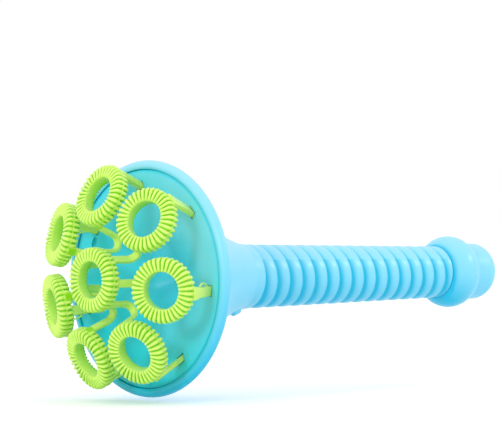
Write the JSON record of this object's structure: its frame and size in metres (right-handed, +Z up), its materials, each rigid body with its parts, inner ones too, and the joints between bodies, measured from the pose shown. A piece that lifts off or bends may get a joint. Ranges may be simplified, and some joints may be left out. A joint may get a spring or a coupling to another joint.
{
  "type": "bubble horn",
  "caption": "Hand-held horn for blowing bubbles: flared bell with a shallow dish, spiral grip tube, ball mouthpiece and a domed head of ribbed film rings that unclips from the dish.",
  "frame": {"origin": "centre of the mouth opening, in the plane of its flat lip", "axes": "+X along the horn's axis, out of the mouth, so the bell opens towards -X; +Z up, with the neck's lug underneath"},
  "size_m": [0.3125, 0.13, 0.13],
  "materials": {
    "horn_blue": "smooth, softly glossy moulded plastic",
    "ring_lime": "smooth, softly glossy moulded plastic"
  },
  "bodies": {
    "horn": {"bell": "horn_blue", "bell_dish": "horn_blue", "grip_tube": "horn_blue"},
    "mouthpiece_body": {"mouthpiece": "horn_blue"},
    "ring_head": {"centre_ring": "ring_lime", "outer_ring_1": "ring_lime", "outer_ring_2": "ring_lime", "outer_ring_3": "ring_lime", "outer_ring_4": "ring_lime", "outer_ring_5": "ring_lime", "outer_ring_6": "ring_lime", "outer_ring_7": "ring_lime"}
  },
  "joints": [
    {"name": "mouthpiece_pull", "type": "slide", "parent": "horn", "child": "mouthpiece_body", "axis": [1, 0, 0], "range_m": [0, 0.03]},
    {"name": "ring_head_pull", "type": "slide", "parent": "horn", "child": "ring_head", "axis": [-1, 0, 0], "range_m": [0, 0.04]}
  ]
}
